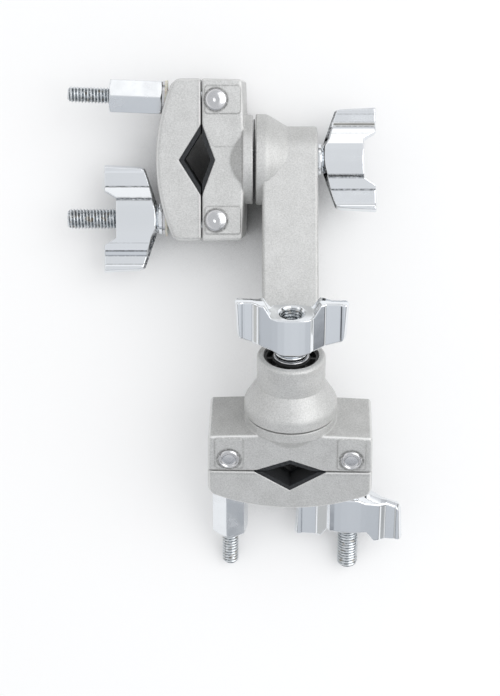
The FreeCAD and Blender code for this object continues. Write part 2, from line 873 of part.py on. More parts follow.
def make_clamp(clamp, frame, disc_gap, hex_lean, wing_turn, hex_turn, hub_turn):
    make_inner_jaw(f"{clamp}_inner_jaw", frame)
    make_outer_jaw(f"{clamp}_outer_jaw", frame)
    make_liner(f"{clamp}_inner_liner", size.inner_notch, 1.0, frame)
    make_liner(f"{clamp}_outer_liner", size.outer_notch, -1.0, frame)
    make_bolt_set(clamp, "wing", -1.0, frame, 0.0, wing_turn)
    make_bolt_set(clamp, "hex", 1.0, frame, hex_lean, hex_turn)
    make_hub_bolt(f"{clamp}_hub_bolt", disc_gap, frame)
    washer_start = size.jaw_disc_face + (disc_gap - size.friction_washer) / 2
    bore = size.hub_bolt_radius + size.washer_play
    friction = f"{clamp}_friction_washer"
    ring(friction, bore, size.friction_washer_radius, washer_start, size.friction_washer, frame)
    rim = size.jaw_disc_face + disc_gap + size.hub_height
    ring(f"{clamp}_hub_washer", bore, size.hub_washer_radius, rim - size.hub_washer, size.hub_washer, frame)
    hub_nut_place = frame * shift(rim) * turn_about(X_AXIS, hub_turn)
    make_wing_nut(f"{clamp}_hub_wing_nut", size.hub_bolt_radius, hub_nut_place)
    make_bush(f"{clamp}_bush", frame * shift(size.jaw_disc_face + disc_gap))


upper_frame = turn_about(X_AXIS, size.upper_lean)
arm_frame = shift(size.jaw_disc_face + size.upper_disc_gap) * turn_about(X_AXIS, -size.arm_tilt)
lower_hub = shift(bar_middle, -size.arm_length, size.arm_rise) * turn_about(X_AXIS, size.arm_bend)
lower_hub = arm_frame * lower_hub * turn_about(Z_AXIS, 90)
lower_swivel = turn_about(X_AXIS, -size.lower_roll)
lower_frame = lower_hub * lower_swivel * shift(-(size.jaw_disc_face + size.lower_disc_gap))

make_arm(arm_frame)
make_clamp(
    "upper",
    upper_frame,
    size.upper_disc_gap,
    size.hex_lean,
    size.upper_wing_turn,
    size.upper_hex_turn,
    size.upper_hub_turn,
)
make_clamp(
    "lower",
    lower_frame,
    size.lower_disc_gap,
    as_size(0.0),
    size.lower_wing_turn,
    size.lower_hex_turn,
    size.lower_hub_turn,
)

# Every object must have built, and every piece must be one valid solid, before anything is written

document.recompute()
for item in document.Objects:
    for state in ("Invalid", "Error"):
        if state in item.State:
            raise RuntimeError(f"{item.Label} did not build: {item.State}")
pieces = [item for item in document.Objects if item.isDerivedFrom("PartDesign::Body")]
for piece in pieces:
    if piece.Shape.isNull() or not piece.Shape.isValid() or len(piece.Shape.Solids) != 1:
        raise RuntimeError(f"{piece.Label} is not one valid solid")

os.makedirs("parts", exist_ok=True)
for piece in pieces:
    piece.Shape.exportStep(f"parts/{piece.Label}.step")
print(len(pieces), "pieces written")
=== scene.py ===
"""The looks of an angle clamp: two V jaw tube clamps on the ends of a cranked cast arm.

Lengths are in millimetres until a piece is made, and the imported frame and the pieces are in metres.
A clamp's own frame has X from its jaws to the arm's hub, Y towards its hex nut and Z along its groove.
"""

import math

import bpy
import numpy as np
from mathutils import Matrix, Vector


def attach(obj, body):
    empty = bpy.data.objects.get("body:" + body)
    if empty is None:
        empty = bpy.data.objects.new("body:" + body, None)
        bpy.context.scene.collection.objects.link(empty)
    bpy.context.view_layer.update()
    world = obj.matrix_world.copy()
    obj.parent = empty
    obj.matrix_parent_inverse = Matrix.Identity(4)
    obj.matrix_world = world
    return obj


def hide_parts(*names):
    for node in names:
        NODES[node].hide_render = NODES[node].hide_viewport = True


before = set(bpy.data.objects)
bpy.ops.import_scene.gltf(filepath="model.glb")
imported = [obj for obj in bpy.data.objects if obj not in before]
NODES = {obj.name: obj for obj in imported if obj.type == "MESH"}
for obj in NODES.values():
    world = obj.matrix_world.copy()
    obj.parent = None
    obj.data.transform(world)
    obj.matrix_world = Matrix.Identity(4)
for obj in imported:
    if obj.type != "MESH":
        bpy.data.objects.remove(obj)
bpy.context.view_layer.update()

# Sizes that several sections share, the same as the part's own
DISC_FACE = 19.45
DISC_GAP = {"upper": 1.12, "lower": 0.6}
HUB_HEIGHT = 23.6
BAR_START, BAR_WIDTH = 2.45, 21.15
ARM_LENGTH, ARM_RISE = 97.4, 8.35
ARM_TILT, ARM_BEND = 8.5, 40.0
UPPER_LEAN, LOWER_ROLL = 6.3, 1.3
HEX_LEAN = {"upper": 2.2, "lower": 0.0}
RIVET_DEPTH, RIVET_SPREAD = 5.5, 22.8
SEAT_LEVEL, SEAT_GAP = 13.2, 0.1
NYLON_THICKNESS, STEEL_THICKNESS = 0.9, 0.95
NUT_BASE = RIVET_DEPTH + SEAT_LEVEL + SEAT_GAP + NYLON_THICKNESS + STEEL_THICKNESS
BOLT_REACH = {"wing": 51.9 + RIVET_DEPTH, "hex": 51.5 + RIVET_DEPTH}
BOLT_RADIUS = {"wing": 3.9, "hex": 3.1, "hub": 4.0}
PITCH = {"wing": 1.25, "hex": 1.27, "hub": 1.25}
THREAD_DEPTH = 0.62
# How far each nut is turned at rest, in degrees
TURNS = {
    "upper": {"wing": 3.0, "hex": 30.0, "hub": -15.0},
    "lower": {"wing": 5.0, "hex": 39.5, "hub": -1.0},
}
FLOOR = -17.4
TO_METRES = 0.001

# How finely turned pieces and threads are divided
AROUND = 64
THREAD_AROUND, ROWS_PER_PITCH = 40, 8


# Frames, each a 4 by 4 array


def shift(x=0.0, y=0.0, z=0.0):
    """The frame that is moved by these lengths."""
    moved = np.eye(4)
    moved[:3, 3] = (x, y, z)
    return moved


def spin(axis, degrees):
    """The frame that is turned about one of its axes."""
    turned = np.eye(4)
    i, j = {"x": (1, 2), "y": (2, 0), "z": (0, 1)}[axis]
    c, s = math.cos(math.radians(degrees)), math.sin(math.radians(degrees))
    turned[i, i], turned[i, j], turned[j, i], turned[j, j] = c, -s, s, c
    return turned


ARM = shift(DISC_FACE + DISC_GAP["upper"]) @ spin("x", -ARM_TILT)
ELBOW = ARM @ shift(BAR_START + BAR_WIDTH / 2, -ARM_LENGTH, ARM_RISE)
LOWER_HUB = ELBOW @ spin("x", ARM_BEND) @ spin("z", 90.0)
CLAMPS = {
    "upper": spin("x", UPPER_LEAN),
    "lower": LOWER_HUB @ spin("x", -LOWER_ROLL) @ shift(-DISC_FACE - DISC_GAP["lower"]),
}
SIDE = {"wing": -1.0, "hex": 1.0}


def bolt_frame(clamp, name):
    """A swing bolt's frame, with X from the rivet along the bolt."""
    side = SIDE[name]
    lean = HEX_LEAN[clamp] if name == "hex" else 0.0
    rivet = CLAMPS[clamp] @ shift(RIVET_DEPTH, side * RIVET_SPREAD)
    return rivet @ spin("z", 180.0 - side * lean)


def hub_end(clamp):
    """The distance from a clamp's middle to the rim of the arm's hub."""
    return DISC_FACE + DISC_GAP[clamp] + HUB_HEIGHT


def nut_frame(clamp, name):
    """A nut's frame, with X out from its base."""
    if name == "hub":
        return CLAMPS[clamp] @ shift(hub_end(clamp)) @ spin("x", TURNS[clamp]["hub"])
    return bolt_frame(clamp, name) @ shift(NUT_BASE) @ spin("x", TURNS[clamp][name])


# Solids as distance fields: a field is negative inside


def meet(a, b, radius):
    """The common part of two solids, its outer edge rounded to this radius."""
    beyond = np.hypot(np.maximum(a + radius, 0.0), np.maximum(b + radius, 0.0))
    return np.minimum(np.maximum(a, b), -radius) + beyond


def join(a, b, radius):
    """Two solids as one, with a hollow fillet of this radius between them."""
    return -meet(-a, -b, radius)


def cells_of(edges, axis, j, k):
    """The edges of one direction that lie at one of the four corners of each cell."""
    cut = [slice(None)] * 3
    for other, offset in zip([a for a in range(3) if a != axis], (j, k)):
        cut[other] = slice(offset, edges.shape[other] - 1 + offset)
    return edges[tuple(cut)]


def skin(field, low, high, step):
    """Points and quads of the surface where a field is nought.

    A cell that the surface crosses gets one point, the mean of where the surface crosses its edges.
    Every crossed edge joins the points of the four cells round it as one quad, wound by the sign of
    the field. Three steps along the field's own slope then put the points exactly on the surface, and
    the slope there is the surface's normal.
    """
    low, high = np.array(low, float), np.array(high, float)
    counts = np.ceil((high - low) / step).astype(int) + 1
    lines = [low[i] + step * np.arange(counts[i]) for i in range(3)]
    grid = np.stack(np.meshgrid(*lines, indexing="ij"), -1)
    value = field(grid.reshape(-1, 3)).reshape(counts)
    total = np.zeros((*(counts - 1), 3))
    number = np.zeros(counts - 1)
    crossings = []
    for axis in range(3):
        a = np.take(value, range(counts[axis] - 1), axis)
        b = np.take(value, range(1, counts[axis]), axis)
        crossed = (a < 0) != (b < 0)
        part = np.where(crossed, a / np.where(crossed, a - b, 1.0), 0.0)
        point = np.take(grid, range(counts[axis] - 1), axis).copy()
        point[..., axis] += part * step
        point *= crossed[..., None]
        crossings.append((crossed, a < 0))
        for j in (0, 1):
            for k in (0, 1):
                number += cells_of(crossed, axis, j, k)
                for c in range(3):
                    total[..., c] += cells_of(point[..., c], axis, j, k)
    active = number > 0
    index = np.full(counts - 1, -1)
    index[active] = np.arange(active.sum())
    points = total[active] / number[active][:, None]
    quads = []
    for axis, (crossed, inside) in enumerate(crossings):
        first, second = [a for a in range(3) if a != axis]
        cut = [slice(None)] * 3
        cut[first] = slice(1, counts[first] - 1)
        cut[second] = slice(1, counts[second] - 1)
        where = np.argwhere(crossed[tuple(cut)])
        start = inside[tuple(cut)][tuple(where.T)]
        where[:, first] += 1
        where[:, second] += 1
        ring = []
        for back_first, back_second in ((1, 1), (0, 1), (0, 0), (1, 0)):
            cell = where.copy()
            cell[:, first] -= back_first
            cell[:, second] -= back_second
            ring.append(index[tuple(cell.T)])
        ring = np.stack(ring, 1)
        forward = start if axis != 1 else ~start
        ring[~forward] = ring[~forward][:, ::-1]
        quads.append(ring)
    quads = np.concatenate(quads)
    for _ in range(3):
        slope, here = slope_of(field, points)
        square = np.maximum((slope**2).sum(1), 1e-6)
        points = points - slope * (here / square)[:, None]
    slope, _ = slope_of(field, points)
    return points, quads, slope / np.linalg.norm(slope, axis=1, keepdims=True)


def slope_of(field, points):
    """The slope of a field from its values a little to each side, and its value."""
    reach = 0.02
    slope = np.empty_like(points)
    for c in range(3):
        beside = np.zeros(3)
        beside[c] = reach
        slope[:, c] = (field(points + beside) - field(points - beside)) / (2 * reach)
    return slope, field(points)


def grid_quads(rows, columns):
    """Quads of a grid of points that closes on itself along its rows."""
    row = np.arange(rows - 1)[:, None] * columns
    here = np.arange(columns)[None, :]
    following = (here + 1) % columns
    corners = (row + here, row + following, row + columns + following, row + columns + here)
    return np.stack([np.broadcast_to(c, (rows - 1, columns)).ravel() for c in corners], 1)


def lathe(profile):
    """A surface turned about X from (along, radius) pairs that run from its low end to its high end."""
    profile = np.array(profile, float)
    angle = np.linspace(0, 2 * math.pi, AROUND, endpoint=False)
    along = np.repeat(profile[:, 0], AROUND)
    radius = np.repeat(np.maximum(profile[:, 1], 1e-4), AROUND)
    angle = np.tile(angle, len(profile))
    points = np.stack([along, radius * np.cos(angle), radius * np.sin(angle)], 1)
    return points, grid_quads(len(profile), AROUND)


def hoop(profile):
    """A ring turned about X from a closed loop of (along, radius) pairs, with its outer side going up."""
    points, quads = lathe(profile)
    last = (len(profile) - 1) * AROUND
    here = np.arange(AROUND)
    following = (here + 1) % AROUND
    closing = np.stack([last + here, last + following, following, here], 1)
    return points, np.concatenate([quads, closing])


def thread(start, end, radius, pitch, inner=False):
    """A right-handed thread about X: a bolt's with a coned and capped tip, or a nut's inner one.

    The phase is the distance along in pitches less the angle in turns. The groove's share of its full
    depth falls and rises in straight flanks with the phase, cut off flat at nought and one. A bolt's
    radius is no more than that of the tip's cone.
    """
    rows = int((end - start) / pitch * ROWS_PER_PITCH) + 1
    along = np.linspace(start, end, rows)[:, None]
    angle = np.linspace(0, 2 * math.pi, THREAD_AROUND, endpoint=False)[None, :]
    phase = (along / pitch - angle / (2 * math.pi)) % 1.0
    flank, crest = 1.3, 0.2
    groove = np.clip(np.abs(2 * phase - 1) * flank - crest, 0.0, 1.0)
    if inner:
        reach = radius + THREAD_DEPTH * groove
    else:
        tip = radius - THREAD_DEPTH * 0.2 - 1.0
        reach = np.minimum(radius - THREAD_DEPTH * groove, tip + (end - along))
    x = np.broadcast_to(along, reach.shape)
    points = np.stack([x, reach * np.cos(angle), reach * np.sin(angle)], -1).reshape(-1, 3)
    quads = grid_quads(rows, THREAD_AROUND)
    shade = groove_shade(groove, inner).ravel()
    if inner:
        quads = quads[:, ::-1]
    else:
        rim = points[-THREAD_AROUND:]
        lip = rim * (1.0, 0.97, 0.97)
        middle = rim * (1.0, 1e-4, 1e-4)
        points = np.concatenate([points, lip, middle])
        shade = np.concatenate([shade, np.zeros(2 * THREAD_AROUND)])
        cap = grid_quads(3, THREAD_AROUND) + (rows - 1) * THREAD_AROUND
        quads = np.concatenate([quads, cap])
    return points, quads, None, shade


def groove_shade(groove, inner):
    """How much painted shade lies in a thread's grooves, from the groove's share of its full depth."""
    depth = 1.0 - groove if inner else groove
    return np.clip(depth * 1.4 - 0.25, 0.0, 1.0)


# A shell is a tuple of points, quads, normals or None, shares of painted shade and dark lines, and shares
# of lighter edge colour that is a painted highlight with some wear


def together(*shells):
    """Several shells as one, without their normals."""
    points, quads, shades, count = [], [], [], 0
    for shell in shells:
        points.append(shell[0])
        quads.append(shell[1] + count)
        shades.append(shell[3] if len(shell) > 3 else np.zeros(len(shell[0])))
        count += len(shell[0])
    return np.concatenate(points), np.concatenate(quads), None, np.concatenate(shades)


def piece(name, shell, place, material, body, node=None):
    """Makes an object of a shell, put in its place in metres, with the rest that the shell has."""
    points, quads = shell[0], shell[1]
    points = (points @ place[:3, :3].T + place[:3, 3]) * TO_METRES
    mesh = bpy.data.meshes.new(name)
    mesh.vertices.add(len(points))
    mesh.vertices.foreach_set("co", points.ravel())
    mesh.loops.add(quads.size)
    mesh.loops.foreach_set("vertex_index", quads.ravel())
    mesh.polygons.add(len(quads))
    mesh.polygons.foreach_set("loop_start", np.arange(len(quads)) * 4)
    mesh.polygons.foreach_set("use_smooth", np.ones(len(quads), bool))
    mesh.update(calc_edges=True)
    mesh.validate()
    if len(shell) > 2 and shell[2] is not None:
        mesh.normals_split_custom_set_from_vertices((shell[2] @ place[:3, :3].T).tolist())
    # The groove attribute carries painted shade and dark lines, and the other one lighter edges, a
    # painted highlight with some wear.
    for label, share in zip(("groove", "wear_and_highlight"), shell[3:]):
        mesh.attributes.new(label, "FLOAT", "POINT").data.foreach_set("value", share)
    mesh.materials.append(material)
    made = bpy.data.objects.new(name, mesh)
    bpy.context.scene.collection.objects.link(made)
    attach(made, body)
    if node:
        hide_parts(node)


# Shader building


def new_material(name, colour, metallic, roughness):
    """A material, its node tree and its shader."""
    material = bpy.data.materials.new(name)
    material.use_nodes = True
    shader = material.node_tree.nodes["Principled BSDF"]
    shader.inputs["Base Color"].default_value = opaque(colour)
    shader.inputs["Metallic"].default_value = metallic
    shader.inputs["Roughness"].default_value = roughness
    return material, material.node_tree, shader


def opaque(colour):
    """A colour with full cover, or the socket that gives the colour, as it is."""
    return colour if isinstance(colour, bpy.types.NodeSocket) else (*colour, 1.0)


def add(tree, kind, inputs=(), **settings):
    """A node with its settings, and its inputs set or linked."""
    node = tree.nodes.new(kind)
    for key, value in settings.items():
        setattr(node, key, value)
    for key, value in dict(inputs).items():
        if isinstance(value, bpy.types.NodeSocket):
            tree.links.new(value, node.inputs[key])
        else:
            node.inputs[key].default_value = value
    return node


def noise(tree, scale, detail=3.0, rough=0.55):
    """Noise that stays with the piece, its scale in waves for each metre."""
    where = add(tree, "ShaderNodeTexCoord").outputs["Object"]
    inputs = {"Vector": where, "Scale": scale, "Detail": detail, "Roughness": rough}
    return add(tree, "ShaderNodeTexNoise", inputs).outputs["Fac"]


def ramp(tree, source, stops):
    """A colour that follows the source through these (position, colour) stops."""
    made = add(tree, "ShaderNodeValToRGB", {"Fac": source})
    while len(made.color_ramp.elements) < len(stops):
        made.color_ramp.elements.new(0.5)
    for element, (position, colour) in zip(made.color_ramp.elements, stops):
        element.position = position
        element.color = opaque(colour)
    return made.outputs["Color"]


def mapped(tree, source, given, wanted=(0.0, 1.0)):
    """The source with one range laid over another, and held at its ends."""
    ranges = {"From Min": given[0], "From Max": given[1], "To Min": wanted[0], "To Max": wanted[1]}
    return add(tree, "ShaderNodeMapRange", {"Value": source, **ranges}).outputs["Result"]


def multiplied(tree, first, second):
    """The product of two values."""
    return add(tree, "ShaderNodeMath", {0: first, 1: second}, operation="MULTIPLY").outputs[0]


def blended(tree, share, first, second):
    """The first colour with this share of the second."""
    inputs = {0: share, 6: opaque(first), 7: opaque(second)}
    return add(tree, "ShaderNodeMix", inputs, data_type="RGBA").outputs[2]


def bump(tree, shader, height, strength, distance):
    """Fine relief that only the light follows."""
    inputs = {"Height": height, "Strength": strength, "Distance": distance}
    made = add(tree, "ShaderNodeBump", inputs)
    tree.links.new(made.outputs["Normal"], shader.inputs["Normal"])


def new_group(name, inputs, outputs):
    """An empty shader node group with these sockets, as (name, kind), and its two ends."""
    tree = bpy.data.node_groups.new(name, "ShaderNodeTree")
    for label, kind in inputs:
        tree.interface.new_socket(name=label, in_out="INPUT", socket_type=f"NodeSocket{kind}")
    for label, kind in outputs:
        tree.interface.new_socket(name=label, in_out="OUTPUT", socket_type=f"NodeSocket{kind}")
    return tree, add(tree, "NodeGroupInput").outputs, add(tree, "NodeGroupOutput").inputs


# The middle range of the noise, which most of a surface lies in
MIDDLE = (0.3, 0.7)


def surface_grain():
    """Noise that moves a colour and a roughness between two values each, and gives a height."""
    numbers = [(label, "Float") for label in ("Scale", "Detail", "Smooth", "Rough")]
    colours = [(label, "Color") for label in ("Low", "High")]
    results = [("Color", "Color"), ("Roughness", "Float"), ("Height", "Float")]
    tree, given, result = new_group("surface_grain", numbers + colours, results)
    texture = noise(tree, given["Scale"], given["Detail"])
    share = mapped(tree, texture, (0.35, 0.65))
    tree.links.new(blended(tree, share, given["Low"], given["High"]), result["Color"])
    roughness = mapped(tree, texture, MIDDLE, (given["Smooth"], given["Rough"]))
    tree.links.new(roughness, result["Roughness"])
    tree.links.new(texture, result["Height"])
    return tree


def painted_shade_mix():
    """Mixes a dark colour in by the share of painted shade and dark lines that a piece has at each point,
    broken up by noise.
    """
    sockets = [("Lit", "Color"), ("Shade", "Color")]
    tree, given, result = new_group("painted_shade_mix", sockets, [("Color", "Color")])
    painted_dark = add(tree, "ShaderNodeAttribute", attribute_name="groove").outputs["Fac"]
    kept = mapped(tree, noise(tree, 1300.0, 3.0, 0.6), (0.38, 0.52), (0.35, 1.0))
    painted_dark = multiplied(tree, painted_dark, kept)
    tree.links.new(blended(tree, painted_dark, given["Lit"], given["Shade"]), result["Color"])
    return tree


SURFACE_GRAIN = surface_grain()
PAINTED_SHADE_MIX = painted_shade_mix()


def with_painted_shade(tree, shader, lit_colour, shaded_colour):
    """Gives the shader the lit colour, with the dark one painted in as shade where its groove attribute
    says.
    """
    colours = {"Lit": opaque(lit_colour), "Shade": opaque(shaded_colour)}
    group = add(tree, "ShaderNodeGroup", colours, node_tree=PAINTED_SHADE_MIX)
    tree.links.new(group.outputs["Color"], shader.inputs["Base Color"])


# Materials


def cast_metal(name, low, high, highlight_and_wear_colour, painted_shade_colour):
    """Tumbled aluminium casting: a fine grain of lighter and darker specks over slow changes of tone."""
    material, tree, shader = new_material(name, high, 0.8, 0.55)
    grain = noise(tree, 2000.0, 4.0, 0.7)
    slow = noise(tree, 120.0)
    most = multiplied(tree, grain, 0.8)
    inputs = {0: slow, 1: 0.2, 2: most}
    tone = add(tree, "ShaderNodeMath", inputs, operation="MULTIPLY_ADD").outputs[0]
    colour = ramp(tree, tone, [(0.38, low), (0.6, high)])
    # Lighter edges from the attribute: a painted highlight with some edge wear.
    wear_and_highlight = add(tree, "ShaderNodeAttribute", attribute_name="wear_and_highlight").outputs["Fac"]
    colour = blended(tree, multiplied(tree, wear_and_highlight, 0.6), colour, highlight_and_wear_colour)
    with_painted_shade(tree, shader, colour, painted_shade_colour)
    tree.links.new(mapped(tree, grain, MIDDLE, (0.5, 0.66)), shader.inputs["Roughness"])
    bump(tree, shader, grain, 0.5, 0.00012)
    return material


def plated(name, colour, roughness, marks, depth):
    """Bright plating on a cast or turned piece, with faint polishing marks and waves."""
    material, tree, shader = new_material(name, colour, 1.0, roughness)
    inputs = {"Scale": marks, "Detail": 2.0, "Smooth": roughness * 0.6, "Rough": roughness * 1.5}
    polish = add(tree, "ShaderNodeGroup", inputs, node_tree=SURFACE_GRAIN).outputs
    # The dark colour is painted shade and painted dark reflection where the groove attribute marks it.
    with_painted_shade(tree, shader, colour, (0.04, 0.045, 0.055))
    tree.links.new(polish["Roughness"], shader.inputs["Roughness"])
    bump(tree, shader, polish["Height"], 0.25, depth)
    return material


def zinc(name):
    """Zinc plated thread: bright crests, and painted blue grey shade in the grooves with a few brown
    spots.
    """
    material, tree, shader = new_material(name, (0.75, 0.78, 0.8), 1.0, 0.25)
    spots = noise(tree, 500.0, 2.0)
    crest = [(0.3, (0.5, 0.48, 0.44)), (0.4, (0.7, 0.73, 0.75)), (0.7, (0.82, 0.84, 0.86))]
    # The roots' colours are painted shade, with a few brown spots among them.
    root = [(0.34, (0.12, 0.09, 0.06)), (0.42, (0.09, 0.105, 0.12)), (0.7, (0.16, 0.185, 0.2))]
    with_painted_shade(tree, shader, ramp(tree, spots, crest), ramp(tree, spots, root))
    tree.links.new(mapped(tree, spots, MIDDLE, (0.34, 0.22)), shader.inputs["Roughness"])
    return material


def moulded(name, low, high, roughness):
    """Moulded plastic or rubber with a fine matte texture."""
    material, tree, shader = new_material(name, high, 0.0, roughness)
    inputs = {"Scale": 1800.0, "Detail": 3.0, "Low": opaque(low), "High": opaque(high)}
    inputs.update({"Smooth": roughness - 0.06, "Rough": roughness + 0.08})
    texture = add(tree, "ShaderNodeGroup", inputs, node_tree=SURFACE_GRAIN).outputs
    tree.links.new(texture["Color"], shader.inputs["Base Color"])
    tree.links.new(texture["Roughness"], shader.inputs["Roughness"])
    bump(tree, shader, texture["Height"], 0.3, 0.00003)
    return material


def set_shader(material, label, value):
    """Sets one of the shader's own sockets."""
    material.node_tree.nodes["Principled BSDF"].inputs[label].default_value = value


CAST = cast_metal(
    "cast_aluminium",
    low=(0.53, 0.53, 0.52),
    high=(0.71, 0.71, 0.7),
    highlight_and_wear_colour=(0.93, 0.93, 0.92),
    painted_shade_colour=(0.1, 0.1, 0.095),
)
CHROME = plated("chrome_plate", (0.86, 0.88, 0.9), 0.08, 90.0, 0.00008)
BRIGHT = plated("bright_steel", (0.62, 0.62, 0.63), 0.2, 300.0, 0.00004)
SATIN = plated("satin_zinc", (0.84, 0.86, 0.88), 0.2, 160.0, 0.00006)
ZINC = zinc("zinc_plate")
RUBBER = moulded("black_rubber", (0.016, 0.017, 0.018), (0.038, 0.04, 0.044), 0.5)
PLASTIC = moulded("black_plastic", (0.012, 0.012, 0.012), (0.03, 0.03, 0.03), 0.4)
NYLON = moulded("nylon", (0.6, 0.57, 0.47), (0.78, 0.76, 0.68), 0.4)
set_shader(RUBBER, "Specular IOR Level", 0.25)
set_shader(NYLON, "Subsurface Weight", 0.2)
set_shader(NYLON, "Subsurface Scale", 0.001)


def looks_of(name):
    """The material of a solid that is shown as it is."""
    if name == "arm" or name.endswith("jaw"):
        return CAST
    if "liner" in name:
        return RUBBER
    if "bush" in name or "friction" in name:
        return PLASTIC
    if "nylon" in name:
        return NYLON
    if "rivet" in name or "washer" in name:
        return BRIGHT
    return ZINC


for name, node in NODES.items():
    for slot in node.material_slots:
        slot.material = looks_of(name)


# Jaws, each in its clamp's own frame

JAW_HALF_LENGTH, JAW_HALF_DEPTH = 30.75, 12.7
HALF_GAP = 0.275
RIDGE, RIDGE_HALF = 16.0, 12.0
BACK_DRAFT, BACK_SLOPE, END_SLOPE = 1.7, 0.0408, 0.0233
BULGE, BULGE_RADIUS = 17.3, 74.0
NOTCH_HALF = 13.8
DISC_RADIUS, DISC_HALF = 17.1, 1.95
CONE_RADIUS, CONE_LEVEL, CONE_SLOPE = 16.0, 15.55, 0.67
PAD_MIDDLE, PAD_HALF_HEIGHT, PAD_HALF_WIDTH, PAD_RISE = 8.05, 6.7, 5.2, 0.2
SLOT_HALF, SLOT_MOUTH, EYE_ROOM = 4.3, 9.0, 6.4
SEAT_HALF = 7.6
HUB_BORE, HEAD_ROOM, HEAD_SEAT = 4.08, 6.6, 9.4
RIVET_HEAD = 4.4
JAW_STEP = 0.42


def line_shade(distance, half):
    """One on a line and nought this far from it."""
    return np.clip(1.0 - np.abs(distance) / half, 0.0, 1.0)


def beyond_rivet(y):
    """The distance from a rivet's axis towards the near end of the jaw."""
    return np.abs(y) - RIVET_SPREAD


def v_notch(level, y, depth):
    """Positive inside a V notch of this depth, from the level over the parting plane."""
    slope = math.hypot(1.0 / depth, 1.0 / NOTCH_HALF)
    return (1.0 - level / depth - np.abs(y) / NOTCH_HALF) / slope


def pad_outline(x, y):
    """The distance from the rounded outline of the pad round a rivet, in the plane of the jaw's side."""
    return meet(np.abs(x - PAD_MIDDLE) - PAD_HALF_HEIGHT, np.abs(beyond_rivet(y)) - PAD_HALF_WIDTH, 1.2)


def inner_jaw_field(points):
    """The jaw with the hub disc.

    A block whose back slopes away from a broad ridge and leans back with depth, less a V notch, the
    slots of the bolt eyes, and the hub bolt's bore with the room for its head. A cone spreads from its
    back to the disc, and the rivets' pads stand proud.
    """
    x, y, z = points.T
    a, b, r = np.abs(y), np.abs(z), np.hypot(y, z)
    lean = BACK_DRAFT * (JAW_HALF_DEPTH - z) / (2.0 * JAW_HALF_DEPTH)
    back = x - RIDGE - lean + BACK_SLOPE * np.maximum(a - RIDGE_HALF, 0.0)
    block = meet(back, a - JAW_HALF_LENGTH + END_SLOPE * (x - HALF_GAP), 1.3)
    block = meet(meet(block, b - JAW_HALF_DEPTH, 1.1), HALF_GAP - x, 0.6)
    pad = meet(pad_outline(x, y), b - JAW_HALF_DEPTH - PAD_RISE, 0.15)
    block = join(block, pad, 0.2)
    flare = 0.83 * (r - CONE_RADIUS - CONE_SLOPE * (x - CONE_LEVEL))
    cone = meet(flare, np.maximum(8.0 - x, x - 16.0), 0.2)
    disc = meet(r - DISC_RADIUS, np.abs(x - DISC_FACE + DISC_HALF) - DISC_HALF, 0.4)
    solid = join(join(block, cone, 0.3), disc, 0.35)
    solid = meet(solid, v_notch(x, y, 5.1), 0.3)
    across = beyond_rivet(y)
    eye = np.hypot(x - RIVET_DEPTH, across) - EYE_ROOM
    slot = np.minimum(eye, np.maximum(x - RIVET_DEPTH, -EYE_ROOM - across))
    slot = np.minimum(slot, np.maximum(x - SLOT_MOUTH, -across))
    solid = meet(solid, -np.maximum(slot, b - SLOT_HALF), 0.25)
    return np.maximum(solid, np.maximum(HUB_BORE - r, np.minimum(HEAD_ROOM - r, HEAD_SEAT - x)))


def inner_jaw_shade(points):
    """Darker lines round the rivets and their pads, and painted shade where the disc meets its cone and a
    little on the cone.
    """
    x, y, z = points.T
    side = np.clip((np.abs(z) - 12.3) / 0.3, 0.0, 1.0)
    pads = 0.4 * line_shade(pad_outline(x, y) - 0.1, 0.42)
    heads = 0.9 * line_shade(np.hypot(x - RIVET_DEPTH, beyond_rivet(y)) - RIVET_HEAD, 0.55)
    neck = 0.4 * line_shade(x - 15.3, 0.4) * (np.hypot(y, z) < 16.6)
    cone = 0.16 * np.clip((np.abs(z) - 12.78) / 0.15, 0.0, 1.0) * (x < 15.4) * (np.abs(y) < 12.0)
    return np.maximum(side * np.maximum(pads, heads), np.maximum(neck, cone))


def mould_line_shade(points):
    """As above, with the casting's mould line from the V notch across to the disc."""
    x, y, z = points.T
    line = np.maximum(13.0 - 1.76 * (x - 0.2), 5.05)
    mould = 0.4 * line_shade(y - line, 0.4)
    return np.maximum(inner_jaw_shade(points), mould * (x < 15.0) * (x > 0.4) * (z > 12.3))


def outer_jaw_field(points):
    """The loose jaw: a bowed back, a V notch, and at each end an open slot and a nut seat."""
    x, y, z = points.T
    a, b = np.abs(y), np.abs(z)
    bowed = np.hypot(x - BULGE_RADIUS + BULGE, y) - BULGE_RADIUS
    solid = meet(meet(bowed, a - JAW_HALF_LENGTH, 2.6), b - JAW_HALF_DEPTH, 1.7)
    solid = meet(solid, x + HALF_GAP, 0.6)
    solid = meet(solid, v_notch(-x, y, 8.6), 0.3)
    past = beyond_rivet(y)
    slot = np.hypot(np.minimum(past, 0.0), z) - SLOT_HALF
    solid = meet(solid, -slot, 0.3)
    turned = RIVET_DEPTH + SEAT_LEVEL - np.hypot(x - RIVET_DEPTH, past)
    floor = np.where(past < 0.0, x + SEAT_LEVEL, turned)
    seat = np.maximum(np.maximum(-SEAT_HALF - past, floor), b - SEAT_HALF)
    return meet(solid, -seat, 0.3)


def outer_jaw_shade(points):
    """A faint mould line along the parting edge."""
    x, _, z = points.T
    return 0.3 * line_shade(x + 1.3, 0.4) * (np.abs(z) > 12.3)


def shaded(shell, shade):
    """The shell with its share of painted shade and dark lines at each point, and its share of lighter
    edge colour, a painted highlight with some wear.

    A point is lighter where its normal lies between two of the jaw's square directions, as on an edge,
    but not on the cone or the disc.
    """
    points, quads, normals = shell
    x, y, z = points.T
    second = np.sort(np.abs(normals), axis=1)[:, 1]
    disc = (x > 14.5) * (np.hypot(y, z) < 17.3)
    wear_and_highlight = np.clip((second - 0.42) / 0.2, 0.0, 1.0) * (np.abs(z) < 12.75) * ~disc
    return points, quads, normals, shade(points), wear_and_highlight


